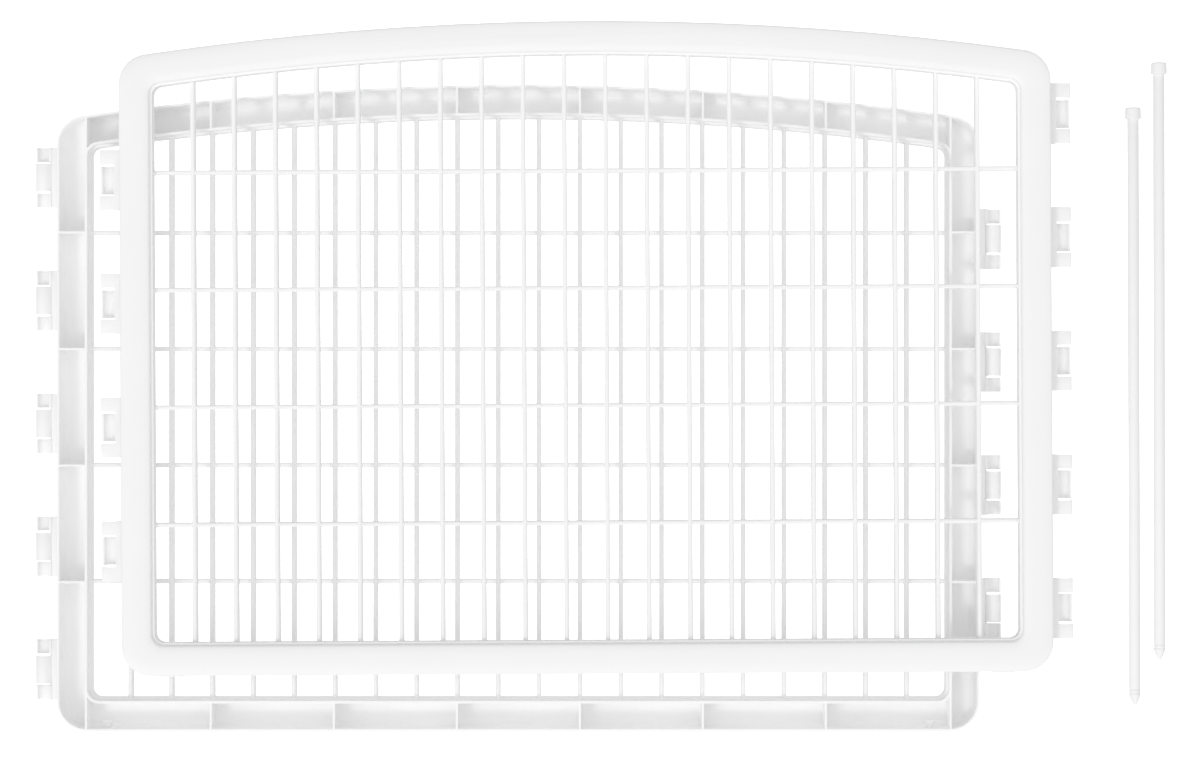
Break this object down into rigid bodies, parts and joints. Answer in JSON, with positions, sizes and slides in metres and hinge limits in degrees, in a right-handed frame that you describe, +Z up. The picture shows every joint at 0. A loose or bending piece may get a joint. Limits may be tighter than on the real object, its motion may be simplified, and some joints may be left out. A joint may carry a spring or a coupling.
{
  "type": "pet playpen",
  "caption": "Flat-lying pet playpen kit: arched plastic grid panels with hinge loops along their sides, and loose hinge rods with caps and points.",
  "frame": {"origin": "middle of the kit's footprint, on the floor it lies on", "axes": "+X across the panels towards the rods, +Y from the panels' feet to their arched tops, +Z up"},
  "size_m": [1.0647, 0.6634, 0.0762],
  "materials": {
    "panel_plastic": "satin",
    "rod_plastic": "matte",
    "foot_rubber": "matte"
  },
  "bodies": {
    "rear_panel": {"rear_frame": "panel_plastic", "rear_grid": "panel_plastic", "rear_five_loops": "panel_plastic", "rear_four_loops": "panel_plastic", "rear_foot_near_five_loops": "foot_rubber", "rear_foot_near_four_loops": "foot_rubber"},
    "front_panel": {"front_frame": "panel_plastic", "front_grid": "panel_plastic", "front_five_loops": "panel_plastic", "front_four_loops": "panel_plastic", "front_foot_near_five_loops": "foot_rubber", "front_foot_near_four_loops": "foot_rubber"},
    "left_rod": {"left_rod_tube": "rod_plastic", "left_rod_cap": "rod_plastic", "left_rod_point": "rod_plastic"},
    "right_rod": {"right_rod_tube": "rod_plastic", "right_rod_cap": "rod_plastic", "right_rod_point": "rod_plastic"}
  },
  "joints": [
    {"name": "front_panel_swing", "type": "hinge", "parent": "rear_panel", "child": "front_panel", "pos_m": [-0.46105, 0.01209, 0.0462], "axis": [0.0052, -1, 0], "range_deg": [0, 120]},
    {"name": "left_rod_draw", "type": "slide", "parent": "rear_panel", "child": "left_rod", "axis": [-0.0038, 1, 0.004], "range_m": [0, 0.55]},
    {"name": "right_rod_draw", "type": "slide", "parent": "rear_panel", "child": "right_rod", "axis": [-0.0021, 1, 0.004], "range_m": [0, 0.55]}
  ]
}
